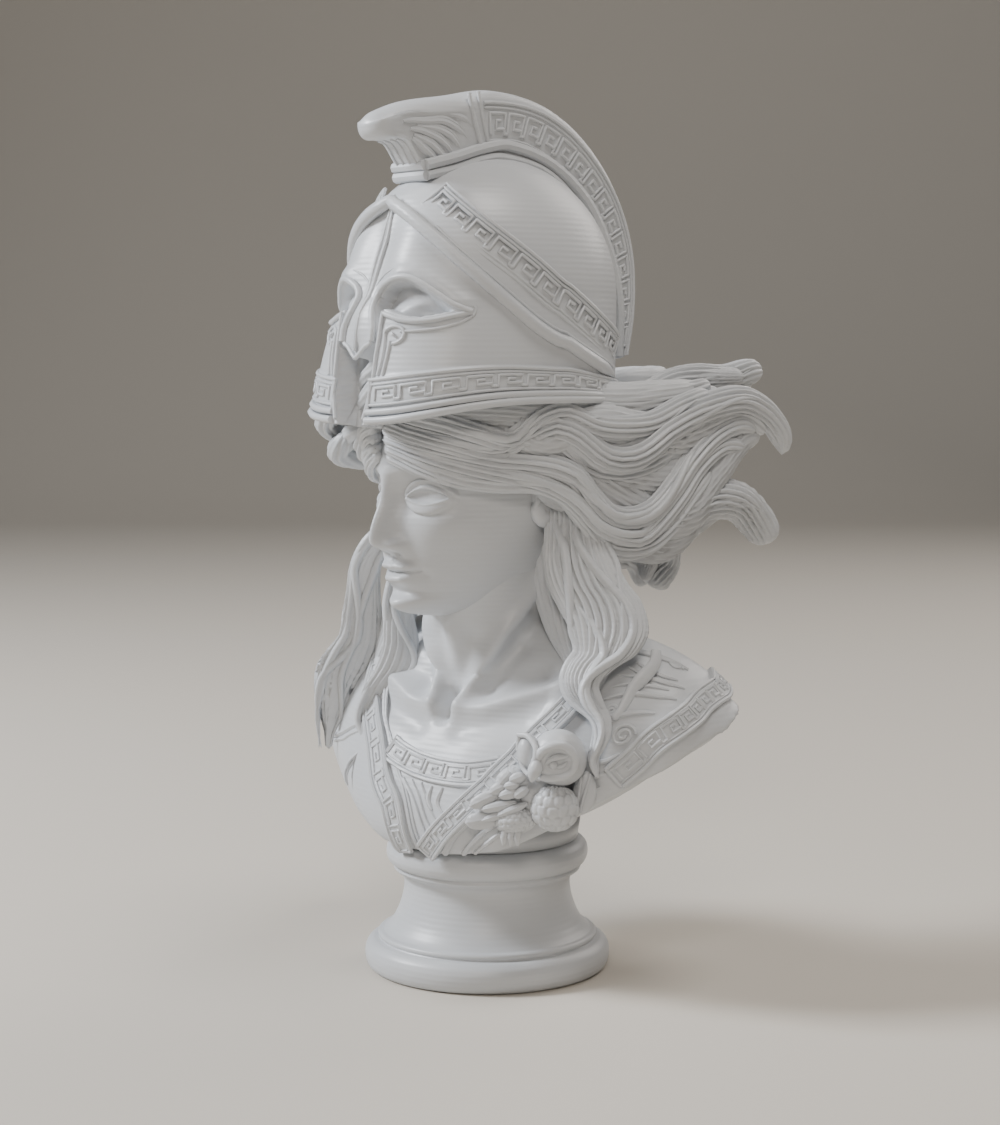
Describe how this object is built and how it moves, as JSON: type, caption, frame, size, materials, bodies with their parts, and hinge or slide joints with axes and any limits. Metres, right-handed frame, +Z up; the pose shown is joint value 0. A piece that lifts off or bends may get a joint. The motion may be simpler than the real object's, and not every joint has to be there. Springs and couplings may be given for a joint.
{
  "type": "helmeted goddess bust",
  "caption": "Small printed-plastic bust of a helmeted goddess with streaming hair and an owl on her breast, standing on a round moulded socle.",
  "frame": {"origin": "middle of the socle's round underside", "axes": "+Z up, -Y the front of the chest, +X the figure's left"},
  "size_m": [0.1124, 0.1117, 0.1948],
  "materials": {
    "bust": "pale cool grey printed plastic, satin, with fine level layer lines",
    "socle": "pale cool grey printed plastic, satin, with fine level layer lines"
  },
  "bodies": {
    "root": {"bust": "bust", "socle": "socle"}
  },
  "joints": []
}
